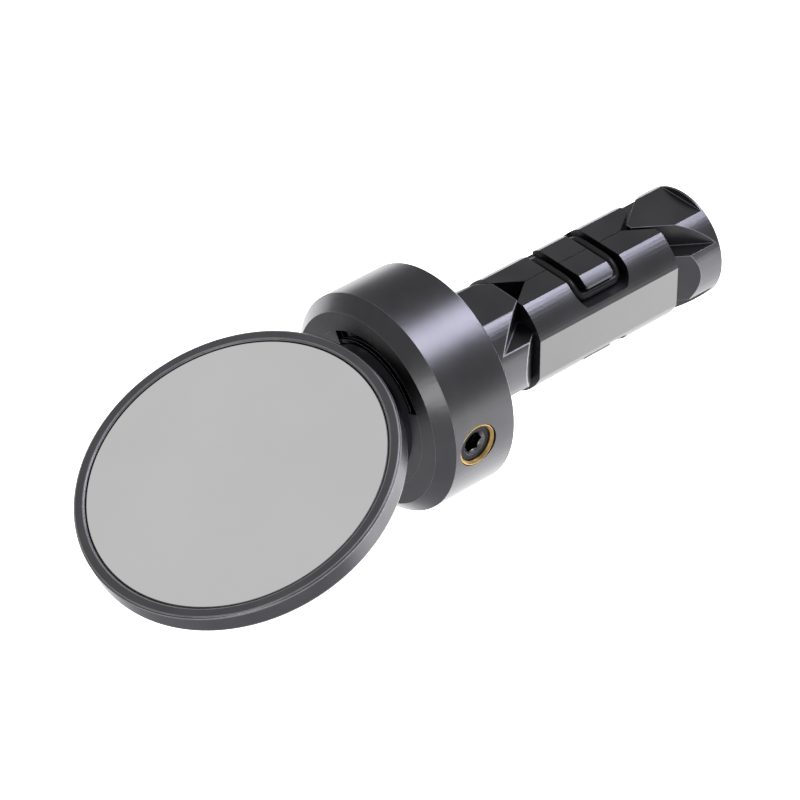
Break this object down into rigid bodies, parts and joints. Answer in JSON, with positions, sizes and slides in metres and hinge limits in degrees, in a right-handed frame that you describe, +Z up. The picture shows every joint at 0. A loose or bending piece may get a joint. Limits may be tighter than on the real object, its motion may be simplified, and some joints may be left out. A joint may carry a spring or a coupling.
{
  "type": "bar-end bicycle mirror",
  "caption": "Round bar-end bicycle mirror on a ball joint, with a chamfered collar and an expanding wedge plug that grips inside the handlebar.",
  "frame": {"origin": "centre of the collar's back face, which rests on the handlebar's end, on the plug's axis", "axes": "+X along the plug into the handlebar, +Z up, the clamp screw and the right jaw's blank flat face -Y, the mirror on -X"},
  "size_m": [0.0989, 0.0438, 0.0308],
  "materials": {
    "anodised_aluminium": "bead blasted, black anodised",
    "polished_aluminium": "polished, black anodised",
    "mirror_silver": "silvered flat glass, polished edge",
    "adhesive_foam": "closed-cell foam with adhesive",
    "black_oxide_steel": "black oxide, alloy steel",
    "stainless_steel": "turned stainless steel",
    "turned_brass": "turned, unlacquered",
    "black_acetal": "machined acetal",
    "natural_acetal": "machined acetal",
    "black_rubber": "moulded nitrile rubber"
  },
  "bodies": {
    "base": {"collar": "anodised_aluminium", "socket_ring": "anodised_aluminium", "ball_seat": "anodised_aluminium", "screw_bushing": "turned_brass", "near_wedge": "anodised_aluminium", "wedge_dowels": "stainless_steel", "bolt_washer": "stainless_steel"},
    "ball_liner": {"friction_liner": "black_acetal"},
    "mirror_head": {"mirror_housing": "anodised_aluminium", "mirror_glass": "mirror_silver", "glass_pad": "adhesive_foam", "arm_screws": "black_oxide_steel", "ball_arm": "polished_aluminium"},
    "screw_tip": {"clamp_pad": "natural_acetal"},
    "set_screw": {"clamp_screw": "black_oxide_steel"},
    "bolt": {"drive_bolt": "black_oxide_steel", "end_clip": "stainless_steel"},
    "wedge_nut": {"far_wedge": "anodised_aluminium"},
    "ring_carriage": {"top_o_ring": "black_rubber", "bottom_o_ring": "black_rubber"},
    "jaw_left": {"left_jaw": "anodised_aluminium"},
    "jaw_right": {"right_jaw": "anodised_aluminium"}
  },
  "joints": [
    {"name": "head_swivel", "type": "hinge", "parent": "base", "child": "ball_liner", "pos_m": [-0.00635, 0, 0], "axis": [1, 0, 0], "continuous": true},
    {"name": "head_tilt", "type": "hinge", "parent": "ball_liner", "child": "mirror_head", "pos_m": [-0.00635, 0, 0], "axis": [0, 1, 0], "range_deg": [-18, 2]},
    {"name": "screw_travel", "type": "slide", "parent": "base", "child": "screw_tip", "axis": [0, -1, 0], "range_m": [0, 0.0008]},
    {"name": "screw_turn", "type": "hinge", "parent": "screw_tip", "child": "set_screw", "pos_m": [-0.00635, 0, 0], "axis": [0, -1, 0], "range_deg": [0, 360]},
    {"name": "bolt_turn", "type": "hinge", "parent": "base", "child": "bolt", "pos_m": [0, 0, 0], "axis": [1, 0, 0], "range_deg": [0, 2571]},
    {"name": "nut_travel", "type": "slide", "parent": "base", "child": "wedge_nut", "axis": [-1, 0, 0], "range_m": [0, 0.00571]},
    {"name": "ring_travel", "type": "slide", "parent": "base", "child": "ring_carriage", "axis": [-1, 0, 0], "range_m": [0, 0.00286]},
    {"name": "left_jaw_travel", "type": "slide", "parent": "ring_carriage", "child": "jaw_left", "axis": [0, 1, 0], "range_m": [0, 0.002], "deforming": ["top_o_ring", "bottom_o_ring"]},
    {"name": "right_jaw_travel", "type": "slide", "parent": "ring_carriage", "child": "jaw_right", "axis": [0, -1, 0], "range_m": [0, 0.002], "deforming": ["top_o_ring", "bottom_o_ring"]}
  ],
  "couplings": [
    {"joint": "screw_turn", "follows": "screw_travel", "rad_per_m": 7854},
    {"joint": "bolt_turn", "follows": "nut_travel", "rad_per_m": 7854},
    {"joint": "ring_travel", "follows": "nut_travel", "ratio": 0.5},
    {"joint": "left_jaw_travel", "follows": "nut_travel", "ratio": 0.3501},
    {"joint": "right_jaw_travel", "follows": "nut_travel", "ratio": 0.3501}
  ]
}
